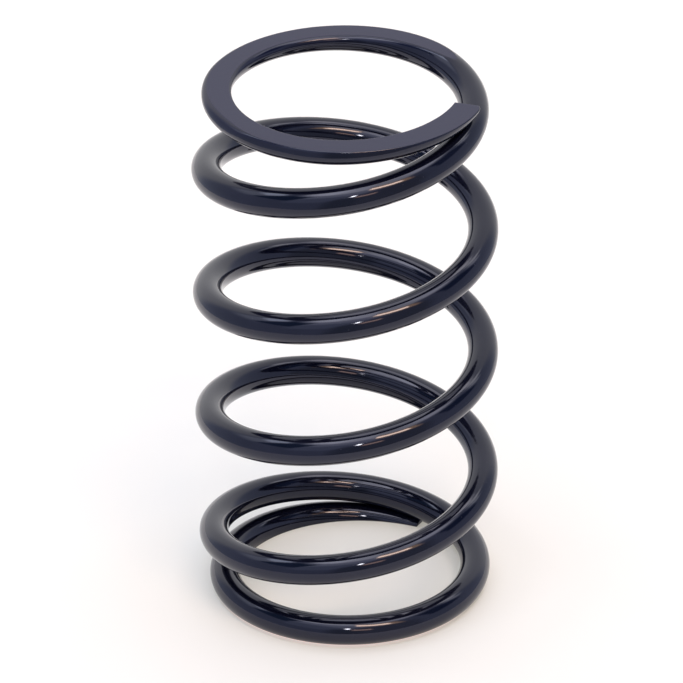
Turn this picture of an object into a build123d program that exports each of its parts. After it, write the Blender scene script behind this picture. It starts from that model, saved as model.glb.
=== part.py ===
from build123d import *
import os
from math import cos, pi, radians, sin, sqrt

# Coil-over compression spring, one piece of round wire, right-hand wound, with closed and ground ends.
# All lengths in millimetres, all coil positions in turns counted from the nearer tip of the wire.
# The axis is Z, the lower ground face lies on Z = 0 and the front of the spring faces -Y.

# Driving dimensions: wire and coils
wire_diameter = 8.2
free_length = 152.4
end_inner_diameter = 60.0
body_inner_diameter = 66.5
total_turns = 5.80
upper_tip_azimuth = -17.0

# Driving dimensions: how each end closes
# ground_level is how far the wire's centre line lies inside the ground face on the end coil.
# closed_turns is where the wire leaves the end coil, closing_turns is how long that bend takes.
# lift_turns is the stretch behind the tip where the wire climbs off the next coil.
# flare_start and flare_end bound the stretch where the coil opens from the end to the body diameter.
# tip_opening is how far the tip stands outside the end coil, where the last of the wire is bent less.
lower_ground_level = 3.9
lower_closed_turns = 1.02
lower_closing_turns = 0.72
lower_lift_turns = 0.60
lower_flare_start = 0.30
lower_flare_end = 1.70
lower_tip_opening = 2.0
upper_ground_level = 0.9
upper_closed_turns = 0.835
upper_closing_turns = 0.70
upper_lift_turns = 0.25
upper_flare_start = 0.70
upper_flare_end = 1.60
upper_tip_opening = 0.6
tip_opening_turns = 0.18

# Clearance between a tip and the coil that it is closed down onto
tip_gap = 0.2

# Fineness of the centre line: stations on each turn, with two true arcs from one station to the next,
# and the step in turns over which the wire's heading is taken at a station
stations_per_turn = 8
heading_step = 0.0001

# Derived sizes
wire_radius = wire_diameter / 2
end_coil_radius = end_inner_diameter / 2 + wire_radius
body_coil_radius = body_inner_diameter / 2 + wire_radius
active_turns = total_turns - lower_closed_turns - upper_closed_turns
body_pitch = (free_length - lower_ground_level - upper_ground_level) / active_turns
lower_tip_azimuth = upper_tip_azimuth - 360 * total_turns

lower_end = (lower_ground_level, lower_closed_turns, lower_closing_turns, lower_lift_turns,
             lower_flare_start, lower_flare_end, lower_tip_opening)
upper_end = (upper_ground_level, upper_closed_turns, upper_closing_turns, upper_lift_turns,
             upper_flare_start, upper_flare_end, upper_tip_opening)


def blend(x):
    """Goes from 0 to 1 with level ends."""
    x = min(max(x, 0.0), 1.0)
    return x * x * (3 - 2 * x)


def blend_area(x):
    """Area under blend from 0 to x, so that its slope turns from 0 to 1 with no kink."""
    inside = min(max(x, 0.0), 1.0)
    return inside**3 - inside**4 / 2 + max(x - 1.0, 0.0)


def coil_radius(turn, end):
    """Radius of the wire's centre line, a number of turns away from the tip of one end."""
    flare_start, flare_end, tip_opening = end[4:]
    opened = blend((turn - flare_start) / (flare_end - flare_start))
    left_to_tip = max(1 - turn / tip_opening_turns, 0.0)
    return end_coil_radius + (body_coil_radius - end_coil_radius) * opened + tip_opening * left_to_tip**2


def body_climb(turn, end):
    """Height that the body pitch has added by this turn, through the bend that closes the end."""
    closed_turns, closing_turns = end[1], end[2]
    bend_start = closed_turns - closing_turns / 2
    return body_pitch * closing_turns * blend_area((turn - bend_start) / closing_turns)


def tip_depth(end):
    """Depth of the tip's centre inside the ground face, where the tip rests on the next coil."""
    ground_level = end[0]
    sideways = coil_radius(1.0, end) - coil_radius(0.0, end)
    upright = sqrt((wire_diameter + tip_gap) ** 2 - sideways**2)
    return ground_level + body_climb(1.0, end) - upright


def coil_depth(turn, end):
    """Depth of the wire's centre line inside the ground face of one end."""
    ground_level, lift_turns = end[0], end[3]
    left_to_lift = 1 - min(turn / lift_turns, 1.0)
    lifted = (ground_level - tip_depth(end)) * left_to_lift**2
    return ground_level - lifted + body_climb(turn, end)


def centre_point(turn):
    """Point of the wire's centre line, a number of turns up from the lower tip."""
    if turn < total_turns / 2:
        radius = coil_radius(turn, lower_end)
        height = coil_depth(turn, lower_end)
    else:
        turn_from_top = total_turns - turn
        radius = coil_radius(turn_from_top, upper_end)
        height = free_length - coil_depth(turn_from_top, upper_end)
    azimuth = radians(lower_tip_azimuth) + 2 * pi * turn
    return Vector(radius * cos(azimuth), radius * sin(azimuth), height)


def heading(turn):
    """Direction in which the wire runs, a number of turns up from the lower tip."""
    return (centre_point(turn + heading_step) - centre_point(turn - heading_step)).normalized()


def arcs_between(start_turn, end_turn):
    """Two arcs that leave one station and reach the next along the wire, and meet with no kink."""
    start = centre_point(start_turn)
    end = centre_point(end_turn)
    leaving = heading(start_turn)
    arriving = heading(end_turn)
    chord = end - start
    along = chord.dot(leaving + arriving)
    turned = 2 * (1 - leaving.dot(arriving))
    reach = (sqrt(along**2 + turned * chord.dot(chord)) - along) / turned
    meeting = (start + end + (leaving - arriving) * reach) * 0.5
    first = TangentArc(start, meeting, tangent=leaving)
    second = TangentArc(meeting, end, tangent=first % 1)
    return [first, second]


def wire_path():
    """Centre line of the wire from tip to tip, as a chain of arcs."""
    stretches = round(total_turns * stations_per_turn)
    arcs = []
    for stretch in range(stretches):
        start_turn = total_turns * stretch / stretches
        end_turn = total_turns * (stretch + 1) / stretches
        arcs += arcs_between(start_turn, end_turn)
    return Wire(arcs)


def coiled_wire():
    """Round wire as coiled, before its ends are ground."""
    path = wire_path()
    section = Plane(origin=path @ 0, z_dir=path % 0) * Circle(wire_radius)
    return sweep(section, path=path)


def ground_to_length(wire):
    """Grinds both ends square to the axis, at the free length."""
    stock_size = 4 * (body_coil_radius + wire_diameter)
    between_faces = Box(stock_size, stock_size, free_length, align=(Align.CENTER, Align.CENTER, Align.MIN))
    return wire & between_faces


def coil_spring():
    return ground_to_length(coiled_wire())


os.makedirs("parts", exist_ok=True)
spring = coil_spring()
export_step(spring, "parts/coil_spring.step")
print("solids", len(spring.solids()), "valid", spring.is_valid, "faces", len(spring.faces()))
print("body pitch", round(body_pitch, 2), "volume", round(spring.volume))
print("tip thickness", round(wire_radius + tip_depth(lower_end), 2), round(wire_radius + tip_depth(upper_end), 2))
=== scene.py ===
# %% [markdown]
# # A coil-over spring, from the measured frame to a studio picture
# The spring of a coil-over strut is one long steel bar. It is wound hot or cold into a helix, its two ends
# are closed down onto the next coil and ground flat, and it is then blasted and powder coated.
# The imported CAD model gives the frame: where the spring stands and how large it is. This lesson dresses it:
# it draws the same wire again with a finer skin, gives it its coat, and puts it in a small white studio.
# The frame comes first, because everything after it takes its place and size from there.

from math import atan2, cos, pi, radians, sin, sqrt

import bpy
from mathutils import Matrix, Vector


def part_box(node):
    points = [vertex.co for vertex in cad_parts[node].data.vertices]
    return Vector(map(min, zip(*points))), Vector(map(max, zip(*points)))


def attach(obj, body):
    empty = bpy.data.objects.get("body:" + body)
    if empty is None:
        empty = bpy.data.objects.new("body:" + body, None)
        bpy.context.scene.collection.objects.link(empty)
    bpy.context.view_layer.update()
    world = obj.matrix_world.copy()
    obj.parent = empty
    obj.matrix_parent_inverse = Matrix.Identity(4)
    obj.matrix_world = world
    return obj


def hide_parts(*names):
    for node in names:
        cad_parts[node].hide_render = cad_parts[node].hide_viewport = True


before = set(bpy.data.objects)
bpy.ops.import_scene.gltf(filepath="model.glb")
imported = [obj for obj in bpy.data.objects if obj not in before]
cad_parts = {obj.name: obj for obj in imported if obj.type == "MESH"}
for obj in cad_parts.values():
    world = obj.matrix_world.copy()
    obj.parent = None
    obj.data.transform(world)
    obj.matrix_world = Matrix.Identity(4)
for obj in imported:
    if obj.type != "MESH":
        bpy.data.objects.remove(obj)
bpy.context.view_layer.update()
low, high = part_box("coil_spring")
mm = 0.001
print("frame: the spring stands from", round(low.z / mm, 2), "to", round(high.z / mm, 2), "mm")

# %% [markdown]
# ## The sizes of the wire and of its coils
# A spring winder works from few numbers: the wire's diameter, the free length, the inner diameter of the
# coils and how many turns there are. The free length and the width over the coils are read from the frame, so
# that this script can't drift away from the model. The rest are the winder's own numbers, in millimetres.
# The skin is drawn a hair inside the nominal wire, so that it never stands outside the model's box.

# %% Wire and coils
free_length = high.z - low.z
width_over_coils = high.x - low.x
wire_diameter = 8.2 * mm
end_inner_diameter = 60.0 * mm
total_turns = 5.80
upper_tip_azimuth = -17.0
tip_gap = 0.2 * mm
hair = 0.01 * mm

end_coil_radius = end_inner_diameter / 2 + wire_diameter / 2
body_coil_radius = (width_over_coils - wire_diameter) / 2
lower_tip_azimuth = upper_tip_azimuth - 360 * total_turns
print("coils: end radius", round(end_coil_radius / mm, 2), "mm,",
      "body radius", round(body_coil_radius / mm, 2), "mm")

# %% [markdown]
# ## The two closed ends
# Neither end is a plain helix. The wire leaves the body, bends down onto the end coil, tightens a little to
# fit its seat, and its tip climbs onto the next coil. Each end has its own numbers, counted from its own tip:
# how deep the centre line lies inside the ground face, where the bend is, how far behind the tip the wire
# starts to climb, where the coil opens out, and how far the tip stands outside the end coil.

# %% Numbers of the two ends
lower_end = dict(ground_level=3.9 * mm, closed_turns=1.02, closing_turns=0.72, lift_turns=0.60,
                 flare_start=0.30, flare_end=1.70, tip_opening=2.0 * mm)
upper_end = dict(ground_level=0.9 * mm, closed_turns=0.835, closing_turns=0.70, lift_turns=0.25,
                 flare_start=0.70, flare_end=1.60, tip_opening=0.6 * mm)
tip_opening_turns = 0.18
active_turns = total_turns - lower_end["closed_turns"] - upper_end["closed_turns"]
body_pitch = (free_length - lower_end["ground_level"] - upper_end["ground_level"]) / active_turns
print("pitch of the body", round(body_pitch / mm, 2), "mm over", round(active_turns, 3), "turns")


# %% [markdown]
# ## The centre line
# Blender has a screw modifier, but it can only wind an even helix. A spring that closes at its ends needs a
# radius and a height that change with the turn, so the centre line is a small formula.
# `ease` goes from 0 to 1 with level ends. `eased_length` is the area under it: a slope that follows `ease`
# climbs by that much, with no kink where the bend starts or ends.

# %% Centre line of the wire
heading_step = 0.0001


def ease(x):
    """Goes from 0 to 1 with level ends."""
    x = min(max(x, 0.0), 1.0)
    return x * x * (3 - 2 * x)


def eased_length(x):
    """Area under `ease` from 0 to x."""
    inside = min(max(x, 0.0), 1.0)
    return inside**3 - inside**4 / 2 + max(x - 1.0, 0.0)


def coil_radius(turn, end):
    """Radius of the centre line, a number of turns from the tip of this end."""
    opened = ease((turn - end["flare_start"]) / (end["flare_end"] - end["flare_start"]))
    left_to_tip = max(1 - turn / tip_opening_turns, 0.0)
    coiled = end_coil_radius + (body_coil_radius - end_coil_radius) * opened
    return coiled + end["tip_opening"] * left_to_tip**2


def body_climb(turn, end):
    """Height that the body's pitch has added by this turn."""
    bend_start = end["closed_turns"] - end["closing_turns"] / 2
    past_bend = (turn - bend_start) / end["closing_turns"]
    return body_pitch * end["closing_turns"] * eased_length(past_bend)


def tip_depth(end):
    """Depth of the tip's centre inside the ground face, where the tip rests on the next coil."""
    sideways = coil_radius(1.0, end) - coil_radius(0.0, end)
    upright = sqrt((wire_diameter + tip_gap) ** 2 - sideways**2)
    return end["ground_level"] + body_climb(1.0, end) - upright


def coil_depth(turn, end):
    """Depth of the centre line inside the ground face of this end."""
    left_to_lift = 1 - min(turn / end["lift_turns"], 1.0)
    lifted = (end["ground_level"] - tip_depth(end)) * left_to_lift**2
    return end["ground_level"] - lifted + body_climb(turn, end)


def centre_point(turn):
    """Place of the wire's centre, a number of turns up from the lower tip."""
    if turn < total_turns / 2:
        radius = coil_radius(turn, lower_end)
        height = low.z + coil_depth(turn, lower_end)
    else:
        radius = coil_radius(total_turns - turn, upper_end)
        height = high.z - coil_depth(total_turns - turn, upper_end)
    azimuth = radians(lower_tip_azimuth) + 2 * pi * turn
    return Vector((radius * cos(azimuth), radius * sin(azimuth), height))


def heading(turn):
    ahead = centre_point(turn + heading_step)
    behind = centre_point(turn - heading_step)
    return (ahead - behind).normalized()


print("tip thickness", round((wire_diameter / 2 + tip_depth(lower_end)) / mm, 2), "mm below,",
      round((wire_diameter / 2 + tip_depth(upper_end)) / mm, 2), "mm above")


# %% [markdown]
# ## The corners of the ground faces
# The grinding wheel takes a slice off the round bar. The corner between the slice and the round is broken
# before coating, and the coat rounds it further. Near the tip it stays a thin crisp line. Further round the
# end coil it becomes a soft round of one to two millimetres, widest outside on the left, then inside too.
# Outside on the front the bar is worn as well: its flank is a slightly smaller circle that touches the round
# bar from within, low on the side, so the flat ends sooner and the flank under it is steep and smooth.
# Each change takes a stretch of the wire: where it starts and how long it is, in turns from the upper tip.

# %% Corners and wear of the upper ground face
wire_radius = wire_diameter / 2 - hair
crisp_edge = 0.28 * mm
front_round = 0.46 * mm
widest_round = 2.20 * mm
outer_round = 1.10 * mm
inner_round = 1.50 * mm
deepest_wear = 1.10 * mm
wear_angle = radians(78)

front_softens = (0.06, 0.10)
inner_widens = (0.40, 0.18)
outer_widens = (0.29, 0.08)
outer_narrows = (0.38, 0.14)
wear_deepens = (-0.10, 0.44)
wear_ends = (0.31, 0.10)


def along_stretch(turn_from_tip, stretch):
    """0 before the stretch, 1 behind it and an easy change in between."""
    start, length = stretch
    return ease((turn_from_tip - start) / length)


def edges_at(turn_from_tip):
    """Radius of the upper face's inner and outer corner, and the wear of its outer flank."""
    front = crisp_edge + (front_round - crisp_edge) * along_stretch(turn_from_tip, front_softens)
    inner = front + (inner_round - front_round) * along_stretch(turn_from_tip, inner_widens)
    outer = front + (widest_round - front_round) * along_stretch(turn_from_tip, outer_widens)
    outer -= (widest_round - outer_round) * along_stretch(turn_from_tip, outer_narrows)
    wear = deepest_wear * along_stretch(turn_from_tip, wear_deepens)
    wear *= 1 - along_stretch(turn_from_tip, wear_ends)
    return inner, outer, wear


print("a quarter turn from the tip, inner and outer corner and wear:",
      [round(size / mm, 2) for size in edges_at(0.25)], "mm")

# %% [markdown]
# ## The section of the wire, round or ground
# A boolean cut would leave ragged slivers at such corners, which no bevel can clean. Instead every section is
# worked out with the slice and its rounded corners already in it, on the same number of points all along the
# wire. `cap_outline` gives the outline across one ground face from its left corner to its right one, as pairs
# (sideways, up) round the wire's centre. Where the wheel barely touches, the points keep the spacing of the
# narrowest real cap and are only pressed down to the cut, so that the flat can fade out.

# %% Outline of a ground face
corner_steps = 7
flat_stations = (-1.0, -0.96, -0.5, 0.0, 0.5, 0.96, 1.0)
least_cap_angle = radians(14)


def flank_centre(wear):
    """Centre (sideways, up) of the smaller circle that a worn flank follows."""
    return wear * cos(wear_angle), -wear * sin(wear_angle)


def corner_of_cap(radius, depth, edge, wear=0.0):
    """How far out the flat reaches, and its rounded corner from the side of the bar up to it."""
    aside, above = flank_centre(wear)
    half_width = sqrt((radius - wear - edge) ** 2 - (depth - above - edge) ** 2)
    corner_angle = atan2(half_width, depth - above - edge)
    corner = []
    for k in range(corner_steps):
        angle = corner_angle * (1 - k / corner_steps)
        corner.append((aside + half_width + edge * sin(angle), depth - edge + edge * cos(angle)))
    return aside + half_width, corner


def cap_outline(radius, depth, left_edge, right_edge, right_wear=0.0):
    """Outline across one ground face, which lies this deep over the wire's centre."""
    finer_edge = min(left_edge, right_edge)
    least_depth = (radius - finer_edge) * cos(least_cap_angle) + finer_edge
    if depth > least_depth:
        pressed = []
        for sideways, up in cap_outline(radius, least_depth, left_edge, right_edge):
            angle = atan2(sideways, up)
            reach = min(radius, depth / cos(angle))
            pressed.append((reach * sin(angle), reach * cos(angle)))
        return pressed
    left_width, left_corner = corner_of_cap(radius, depth, left_edge)
    right_width, right_corner = corner_of_cap(radius, depth, right_edge, right_wear)
    flat = [((left_width if share < 0 else right_width) * share, depth) for share in flat_stations]
    return [(-sideways, up) for sideways, up in left_corner] + flat + right_corner[::-1]


print("points across a ground face:", len(cap_outline(wire_radius, 0.0, crisp_edge, outer_round)))

# %% [markdown]
# ## One ring of the skin
# A ring is the upper outline, the round right side, the lower outline and the round left side. `sideways`
# points away from the spring's axis and `upward` is square to it and to the wire, so a horizontal cut is a
# straight line in this plane. The upper tip was cropped from a narrowed, knocked-off end: its outer side
# draws in over the last few millimetres, which squeezes the ring towards its inner side. Each ring also says
# how ground its points are: 1 on the flat, less on a filed corner and 0 on the round bar and the worn flank.
# The finish needs that later. `inset` draws the whole ring in, for the rounded edge of the tips, and takes at
# most a share of a corner. Two tolerances tell a point on the flat or on the round bar from the ones beside.

# %% Rings round the wire
side_steps = 18
crop_length = 2.6 * mm
crop_width = 1.25 * mm
filed_corner = 0.25
most_edge_taken = 0.8
face_tolerance = 1e-7
bar_tolerance = 1e-4


def cropped(turn_from_tip):
    """How much narrower the bar is, this far from the upper tip."""
    left_to_tip = 1 - min(2 * pi * end_coil_radius * turn_from_tip / crop_length, 1.0)
    return crop_width * (1 - sqrt(1 - left_to_tip**2))


def round_side(radius, start_angle, end_angle, wear=0.0):
    """The side between two ground faces, along the worn flank first where there is one."""
    side = []
    for k in range(1, side_steps):
        angle = start_angle + (end_angle - start_angle) * k / side_steps
        worn = wear if angle < pi / 2 + wear_angle else 0.0
        aside, above = flank_centre(worn)
        side.append((aside + (radius - worn) * sin(angle), above + (radius - worn) * cos(angle)))
    return side


def ring(turn, inset=0.0):
    """Places round the wire at this turn, and how ground each of them is."""
    centre = centre_point(turn)
    along = heading(turn)
    sideways = along.cross(Vector((0, 0, 1))).normalized()
    upward = sideways.cross(along)
    radius = wire_radius - inset
    *edges, wear = edges_at(total_turns - turn)
    inner_edge, outer_edge = [edge - min(inset, edge * most_edge_taken) for edge in edges]
    lower_edge = crisp_edge - min(inset, crisp_edge * most_edge_taken)
    upper_depth = (high.z - hair - centre.z) / upward.z - inset
    lower_depth = (centre.z - low.z - hair) / upward.z - inset
    upper = cap_outline(radius, upper_depth, inner_edge, outer_edge, wear)
    lower = [(side, -up) for side, up in cap_outline(radius, lower_depth, lower_edge, lower_edge)][::-1]
    aside, above = flank_centre(wear)
    right = round_side(radius, atan2(upper[-1][0] - aside, upper[-1][1] - above), atan2(*lower[0]), wear)
    left = round_side(radius, 2 * pi + atan2(*lower[-1]), 2 * pi + atan2(*upper[0]))
    outline = upper + right + lower + left
    ground = []
    for k, (side, up) in enumerate(outline):
        cut = (radius**2 - side**2 - up**2) / radius**2
        on_face = up > upper_depth - face_tolerance or -up > lower_depth - face_tolerance
        on_flank = len(upper) <= k < len(upper + right)
        ground.append(0.0 if cut < bar_tolerance or on_flank else 1.0 if on_face else filed_corner)
    squeeze = 1 - cropped(total_turns - turn) / (2 * wire_radius)
    places = [centre + sideways * ((side + radius) * squeeze - radius) + upward * up for side, up in outline]
    return places, ground


sample_ring, sample_ground = ring(0.5)
print("points round the wire:", len(sample_ring), "of them on a ground face:", sample_ground.count(1.0))

# %% [markdown]
# ## Closing the two tips
# The bar is cropped square before it is wound, so each tip is a flat end with a broken edge. The edge is a
# quarter round: rings that step back from the end and shrink together. A last small ring inside the flat
# keeps the shading of the end face from bending over its edge, and one many-sided face closes it.

# %% Rings from tip to tip
body_rings = 1240
tip_edge = 0.30 * mm
tip_edge_steps = 5
tip_face_inset = 0.12 * mm
crop_steps = 9


def tip_stations():
    """(turn from the tip, inset) from the end face over its rounded edge and past the cropped stretch."""
    turn_length = 2 * pi * end_coil_radius
    stations = [(0.0, tip_edge + tip_face_inset)]
    for k in range(tip_edge_steps + 1):
        angle = pi / 2 * (1 - k / tip_edge_steps)
        stations.append((tip_edge * (1 - sin(angle)) / turn_length, tip_edge * (1 - cos(angle))))
    for k in range(1, crop_steps + 1):
        stations.append(((tip_edge + (crop_length - tip_edge) * k / crop_steps) / turn_length, 0.0))
    return stations


tip = tip_stations()
first_turn = tip[-1][0]
stations = list(tip)
for k in range(1, body_rings):
    stations.append((first_turn + (total_turns - 2 * first_turn) * k / body_rings, 0.0))
stations += [(total_turns - turn, inset) for turn, inset in tip[::-1]]
print("rings:", len(stations))

# %% [markdown]
# ## The skin as a mesh
# The rings are joined with four-sided faces. `from_pydata` takes plain lists of points and faces, and a named
# attribute on the points carries what the finish needs: `ground` is 1 on the ground faces and less on their
# filed corners.

# %% Build the skin
points = []
ground_values = []
for turn, inset in stations:
    places, ground = ring(turn, inset)
    points += places
    ground_values += ground

around = len(sample_ring)
faces = []
for lower_ring in range(len(stations) - 1):
    for k in range(around):
        here = lower_ring * around + k
        beside = lower_ring * around + (k + 1) % around
        faces.append((here, beside, beside + around, here + around))
faces.append(tuple(range(around))[::-1])
faces.append(tuple(range(len(points) - around, len(points))))

skin = bpy.data.meshes.new("coated_spring")
skin.from_pydata([tuple(point) for point in points], [], faces)
skin.attributes.new("ground", "FLOAT", "POINT").data.foreach_set("value", ground_values)
skin.shade_smooth()
for end_face in skin.polygons[-2:]:
    end_face.use_smooth = False
spring = bpy.data.objects.new("coated_spring", skin)
bpy.context.scene.collection.objects.link(spring)
print("skin:", len(points), "points,", len(faces), "faces")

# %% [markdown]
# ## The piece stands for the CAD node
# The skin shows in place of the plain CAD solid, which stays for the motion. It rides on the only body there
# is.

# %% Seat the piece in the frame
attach(spring, "root")
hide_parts("coil_spring")


# %% [markdown]
# ## Shader maths as plain Python
# A finish is a small calculation at each point of the surface. Written as nodes it is hard to read, so one
# class wraps an output socket and turns +, - and * into Math nodes. `node` adds any other kind, with its
# settings first and the values or links of its sockets after. `mixed` goes between two colours, because a
# Math node would turn a colour grey.

# %% A signal in a node tree
class Signal:
    """One value or colour in a node tree, at the socket where it comes out."""

    def __init__(self, tree, socket=None):
        self.tree = tree
        self.socket = socket

    def node(self, kind, settings=None, inputs=None, output=0):
        """A new node of this kind, as the signal of one of its outputs."""
        made = self.tree.nodes.new(kind)
        for name, value in (settings or {}).items():
            setattr(made, name, value)
        for name, value in (inputs or {}).items():
            self.plug(made.inputs[name], value)
        return Signal(self.tree, made.outputs[output])

    def beside(self, output):
        """Another output of the node that this signal comes from."""
        return Signal(self.tree, self.socket.node.outputs[output])

    def plug(self, socket, value):
        """Links a signal to the socket, or sets a plain value on it."""
        if isinstance(value, Signal):
            self.tree.links.new(value.socket, socket)
        else:
            socket.default_value = value

    def maths(self, operation, first, second=0.0):
        return self.node("ShaderNodeMath", {"operation": operation}, {0: first, 1: second})

    def __add__(self, other):
        return self.maths("ADD", self, other)

    def __radd__(self, other):
        return self.maths("ADD", other, self)

    def __sub__(self, other):
        return self.maths("SUBTRACT", self, other)

    def __rsub__(self, other):
        return self.maths("SUBTRACT", other, self)

    def __mul__(self, other):
        return self.maths("MULTIPLY", self, other)

    def __rmul__(self, other):
        return self.maths("MULTIPLY", other, self)

    def between(self, start, end):
        """0 where this value is at start or before it, 1 at end or past it, and smooth in between."""
        return self.node("ShaderNodeMapRange", {"interpolation_type": "SMOOTHSTEP"},
                         {"Value": self, "From Min": start, "From Max": end})

    def mixed(self, first, second):
        """The first colour where this value is 0, the second where it is 1."""
        return self.node("ShaderNodeMix", {"data_type": "RGBA"}, {0: self, 6: first, 7: second}, 2)


print("a signal adds a Math node for +, - and *, and any other node by its type")

# %% [markdown]
# ## The powder coat
# Powder is sprayed on dry and baked until it flows together. On this spring it is a very dark navy with a
# high gloss. It is never quite flat: it keeps a shallow orange peel a millimetre or two across, its colour
# drifts a little, and a few grains of dust are baked in. The ground faces are coated too, but over the marks
# of the wheel, so they stay duller and greyer. All of it is worked out from the place on the piece, with
# noise, so nothing depends on an image. A scale is how many waves of noise go into a metre, a height is that
# of the relief which the bump shades, and a pair is where a soft mask starts and where it is full.

# %% Colours, scales and relief of the coat
navy = (0.0016, 0.0021, 0.0078, 1.0)
lighter_navy = (0.0038, 0.0044, 0.0120, 1.0)
ground_navy = (0.0030, 0.0034, 0.0265, 1.0)
dust_grey = (0.060, 0.062, 0.075, 1.0)
coat_tint = (0.74, 0.77, 1.0, 1.0)
coat_index = 1.56

cloud_scale, cloud_edge = 70.0, (0.35, 0.7)
peel_scale, peel_height = 550.0, 0.010 * mm
fine_scale, fine_height, fine_height_on_ground = 5200.0, 0.001 * mm, 0.004 * mm
grain_scale, grain_edge = 900.0, (0.06, 0.14)
dusty_scale, dusty_edge = 300.0, (0.62, 0.68)
dust_colour_share, dust_height = 0.5, 0.004 * mm
wheel_scale, wheel_height = (90.0, 2200.0, 90.0), 0.0035 * mm
gloss_roughness, cloud_roughness, ground_roughness, dust_roughness = 0.05, 0.03, 0.27, 0.1
print("relief of the orange peel:", round(peel_height / mm, 3), "mm")

# %% [markdown]
# ## The coat as nodes
# The coat could be painted as pictures, but then it would need seams and a size in pixels. Noise in the
# piece's own coordinates has neither. The masks come first, then what changes over the surface: colour,
# roughness and normal. What is the same everywhere is set on the shader's own sockets.

# %% Powder coat
def powder_coat():
    material = bpy.data.materials.new("powder_coat")
    material.use_nodes = True
    shader = material.node_tree.nodes["Principled BSDF"]
    here = Signal(material.node_tree)
    place = here.node("ShaderNodeTexCoord", output="Object")
    ground = here.node("ShaderNodeAttribute", {"attribute_name": "ground"}, output="Fac")

    cloud = here.node("ShaderNodeTexNoise", {}, {"Vector": place, "Scale": cloud_scale, "Detail": 3.0})
    peel = here.node("ShaderNodeTexNoise", {}, {"Vector": place, "Scale": peel_scale, "Detail": 2.0})
    fine = here.node("ShaderNodeTexNoise", {}, {"Vector": place, "Scale": fine_scale, "Detail": 2.0})
    grains = here.node("ShaderNodeTexVoronoi", {}, {"Vector": place, "Scale": grain_scale}, "Distance")
    dusty = here.node("ShaderNodeTexNoise", {}, {"Vector": place, "Scale": dusty_scale, "Detail": 0.0})
    dust = (1.0 - grains.between(*grain_edge)) * dusty.between(*dusty_edge)

    coat_colour = cloud.between(*cloud_edge).mixed(navy, lighter_navy)
    face_colour = ground.mixed(coat_colour, ground_navy)
    colour = (dust * dust_colour_share).mixed(face_colour, dust_grey)
    roughness = gloss_roughness + cloud * cloud_roughness + ground * ground_roughness
    roughness = roughness + dust * dust_roughness
    height = peel * peel_height + fine * (fine_height + ground * fine_height_on_ground)
    height = height + dust * dust_height
    marks = here.node("ShaderNodeMapping", {}, {"Vector": place, "Scale": wheel_scale})
    wheel = here.node("ShaderNodeTexNoise", {}, {"Vector": marks, "Scale": 1.0, "Detail": 2.0})
    height = height + ground * wheel * wheel_height
    normal = here.node("ShaderNodeBump", {}, {"Height": height, "Distance": 1.0}, "Normal")

    here.plug(shader.inputs["Base Color"], colour)
    here.plug(shader.inputs["Roughness"], roughness)
    here.plug(shader.inputs["Normal"], normal)
    shader.inputs["IOR"].default_value = coat_index
    shader.inputs["Specular Tint"].default_value = coat_tint
    return material


spring.data.materials.append(powder_coat())
print("powder coat:", len(spring.data.materials[0].node_tree.nodes), "nodes")

# %% [markdown]
# ## The table
# The picture is made on a white table of opal acrylic that lets light through from below. That is why the
# shadow where the spring stands is soft and faintly warm, and never black: the sheet glows a little by
# itself. On top of that the table carries painted light: a stronger warm glow in a thin band just outside the
# front of the end coil, which lifts the shadow where the coil touches the table. The table ends a short way
# in front of the spring, which puts a dark band across the front of every glossy coil. The last three pairs
# are where a soft mask starts and where it is full.

# %% Floor
floor_front = -0.29
floor_back = 0.80
floor_half_width = 0.36
table_white = (0.53, 0.55, 0.60, 1.0)
table_glow = (0.33, 0.307, 0.250, 1.0)
# Colour of the painted light: the warm glow along the front of the end coil, which lifts the contact shadow.
contact_painted_light = (0.86, 0.68, 0.62, 1.0)
glow_strength = 0.85
acrylic_grain_scale = 900.0
acrylic_roughness, grain_roughness = 0.45, 0.1
acrylic_specular = 0.25
contact_fades = (3.8 * mm, 1.6 * mm)
wire_covers = (-1.5 * mm, 0.0)
front_starts = (-5.0 * mm, -25.0 * mm)


def opal_table():
    material = bpy.data.materials.new("opal_table")
    material.use_nodes = True
    shader = material.node_tree.nodes["Principled BSDF"]
    here = Signal(material.node_tree)
    place = here.node("ShaderNodeTexCoord", output="Object")
    grain = here.node("ShaderNodeTexNoise", {},
                      {"Vector": place, "Scale": acrylic_grain_scale, "Detail": 3.0})
    across = here.node("ShaderNodeSeparateXYZ", {}, {"Vector": place}, "X")
    from_axis = here.maths("SQRT", across * across + across.beside("Y") * across.beside("Y"))
    outside = from_axis - end_coil_radius
    in_front = across.beside("Y").between(*front_starts)
    # Painted light: the table glows brighter and warmer in a band just outside the front of the end coil.
    painted_light_band = outside.between(*contact_fades) * outside.between(*wire_covers) * in_front
    here.plug(shader.inputs["Emission Color"], painted_light_band.mixed(table_glow, contact_painted_light))
    here.plug(shader.inputs["Roughness"], acrylic_roughness + grain * grain_roughness)
    shader.inputs["Base Color"].default_value = table_white
    shader.inputs["Emission Strength"].default_value = glow_strength
    shader.inputs["Specular IOR Level"].default_value = acrylic_specular
    return material


table = bpy.data.meshes.new("floor")
floor_corners = [(-floor_half_width, floor_front, 0), (floor_half_width, floor_front, 0),
                 (floor_half_width, floor_back, 0), (-floor_half_width, floor_back, 0)]
table.from_pydata(floor_corners, [], [(0, 1, 2, 3)])
table.materials.append(opal_table())
floor = bpy.data.objects.new("floor", table)
bpy.context.scene.collection.objects.link(floor)
print("floor:", round(floor_back - floor_front, 2), "m deep,", round(floor_half_width * 2, 2), "m wide")

# %% [markdown]
# ## The light tent
# A glossy dark piece shows little colour of its own: what is seen on it is the studio. So the studio is the
# second half of the finish. Here it is a white tent, made of soft-edged windows of light, each with its
# bearing, its height above the horizon and its brightness, all angles in degrees. Bearing 0 is behind the
# spring, 90 is to its right and 180 is the camera's side. Windows that come later cover the earlier ones.
# The brightest are the ceiling, a warm strip high on the right and one small lamp beside the camera. Two gaps
# in the tent, left and right, show the dark room. A slanted window rises by a share of its bearing.

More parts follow.
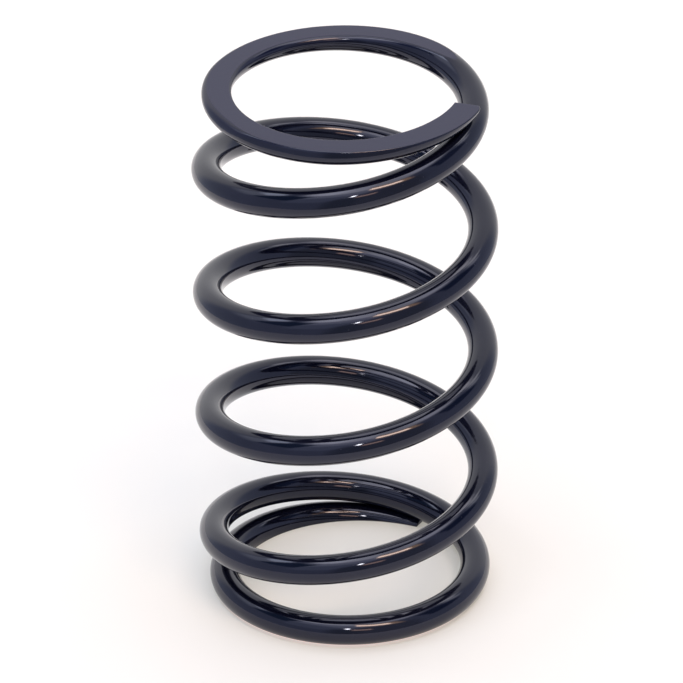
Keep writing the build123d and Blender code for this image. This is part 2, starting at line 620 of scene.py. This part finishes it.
# %% Windows of the light tent
tent_wall = (0.50, 0.54, 0.67)
tent_windows = [
    dict(name="back wall", bearing=1, width=92, low=-90, high=56, soft=20, light=(0.93, 0.92, 0.92)),
    dict(name="front glow", bearing=-155, width=130, low=46, high=80, soft=22, light=(1.55, 1.58, 1.75)),
    dict(name="left front wall", bearing=-145, width=44, low=24, high=50, soft=12, light=(0.76, 0.82, 1.00)),
    dict(name="front shade", bearing=180, width=36, low=-40, high=32, soft=14, light=(0.26, 0.29, 0.33)),
    dict(name="right shade", bearing=147, width=50, low=-40, high=44, soft=14, light=(0.34, 0.36, 0.40)),
    dict(name="ceiling left", bearing=-130, width=114, low=65, high=100, soft=9, light=(3.70, 3.60, 3.50)),
    dict(name="left lamp", bearing=-108, width=52, low=66, high=80, soft=8, light=(4.90, 4.80, 4.70)),
    dict(name="ceiling right", bearing=116, width=124, low=62, high=100, soft=14, light=(2.80, 2.70, 2.60)),
    dict(name="right lamp", bearing=86, width=48, low=64, high=92, soft=9, light=(3.50, 3.40, 3.40)),
    dict(name="back ceiling", bearing=5, width=80, low=57, high=75, soft=8, light=(2.55, 2.45, 2.35)),
    dict(name="gap overhead", bearing=0, width=104, low=77, high=87, soft=5, light=(0.80, 0.85, 0.95)),
    dict(name="left skirt", bearing=-67, width=32, low=34, high=52, soft=12, light=(1.15, 1.20, 1.30)),
    dict(name="left window", bearing=-63, width=27, low=47.5, high=57, soft=4, light=(3.15, 3.30, 3.50)),
    dict(name="right arc, upper", bearing=37, width=18, low=55.5, high=65, soft=6, light=(3.50, 3.30, 3.10)),
    dict(name="right arc, lower", bearing=52, width=13, low=46, high=56, soft=6, light=(3.00, 2.90, 2.70)),
    dict(name="right arc, foot", bearing=64, width=8, low=38, high=50, soft=6, light=(2.00, 2.00, 2.00)),
    dict(name="dark gap left", bearing=-102, width=38, low=36, high=60, soft=5, light=(0.08, 0.14, 0.22)),
    dict(name="dark gap right", bearing=90, width=34, low=30, high=55, soft=6, light=(0.06, 0.10, 0.18)),
    dict(name="warm halo", bearing=150, width=42, low=47, high=66, soft=7, rise=0.28,
         light=(3.20, 2.00, 1.10)),
    dict(name="warm strip", bearing=155, width=34, low=53, high=62, soft=3, rise=0.28,
         light=(20.00, 14.20, 9.40)),
    dict(name="warm patch", bearing=170, width=16, low=25, high=32.5, soft=4, light=(4.40, 2.80, 1.90)),
    dict(name="small lamp", bearing=182, width=3.5, low=34.5, high=41, soft=2, light=(46.00, 44.00, 38.00)),
]
print("tent windows:", len(tent_windows))

# %% [markdown]
# ## The tent as a world
# The world's shader asks for a colour in every direction. Two Math nodes turn that direction into a bearing
# and a height in degrees. Each window is then a soft mask across and a soft mask upright, and goes over the
# light so far. Rays from the camera itself get plain white instead, so the picture fades out past the table.

# %% Light tent
seen_white = (1.0, 1.0, 1.0, 1.0)
half_circle = 180.0
degrees_per_radian = 180 / pi


def light_tent():
    tent = bpy.data.worlds.new("light_tent")
    tent.use_nodes = True
    background = tent.node_tree.nodes["Background"]
    here = Signal(tent.node_tree)
    direction = here.node("ShaderNodeTexCoord", output="Generated")
    to_right = here.node("ShaderNodeSeparateXYZ", {}, {"Vector": direction}, "X")
    bearing = here.maths("ARCTAN2", to_right, to_right.beside("Y")) * degrees_per_radian
    height = here.maths("ARCSINE", to_right.beside("Z")) * degrees_per_radian
    light = tent_wall + (1.0,)
    for window in tent_windows:
        turned = bearing - window["bearing"]
        middle = (window["low"] + window["high"]) / 2
        level = height - (turned * window["rise"] + middle) if "rise" in window else height - middle
        soft = window["soft"] / 2
        half_width = window["width"] / 2
        half_height = (window["high"] - window["low"]) / 2
        aside = here.maths("PINGPONG", turned, half_circle)
        across = aside.between(half_width + soft, half_width - soft)
        upright = here.maths("ABSOLUTE", level).between(half_height + soft, half_height - soft)
        light = (across * upright).mixed(light, window["light"] + (1.0,))
    camera_sees = here.node("ShaderNodeLightPath", output="Is Camera Ray")
    here.plug(background.inputs["Color"], camera_sees.mixed(light, seen_white))
    return tent


bpy.context.scene.world = light_tent()
bpy.context.scene.view_settings.view_transform = "Standard"
print("light tent:", len(bpy.context.scene.world.node_tree.nodes), "nodes")

# %% [markdown]
# ## The camera
# The picture was taken from some two metres away with a long lens, looking down by 29 degrees. A long lens
# keeps the near and far side of each coil almost the same size. The camera's axes are worked out from its
# pitch, yaw and roll and set as a matrix, because Euler angles would hide which turn comes first.

# %% Camera
camera_place = Vector((0.0, -1.70927, 1.02593))
camera_pitch = radians(29.0928)
camera_yaw = radians(-0.0405)
camera_roll = radians(-0.5376)
picture_width = 683
focal_pixels = 7183.03

forward = Vector((sin(camera_yaw) * cos(camera_pitch), cos(camera_yaw) * cos(camera_pitch),
                  -sin(camera_pitch)))
level_right = forward.cross(Vector((0, 0, 1))).normalized()
level_up = level_right.cross(forward)
right = level_right * cos(camera_roll) + level_up * sin(camera_roll)
up = level_up * cos(camera_roll) - level_right * sin(camera_roll)

lens = bpy.data.cameras.new("camera")
lens.lens = lens.sensor_width * focal_pixels / picture_width
camera = bpy.data.objects.new("camera", lens)
turned_to = Matrix((right, up, -forward)).transposed().to_4x4()
camera.matrix_world = Matrix.Translation(camera_place) @ turned_to
bpy.context.scene.collection.objects.link(camera)
bpy.context.scene.camera = camera
print("lens", round(lens.lens, 1), "mm on a sensor of", lens.sensor_width, "mm")

# %% Update the view layer
bpy.context.view_layer.update()
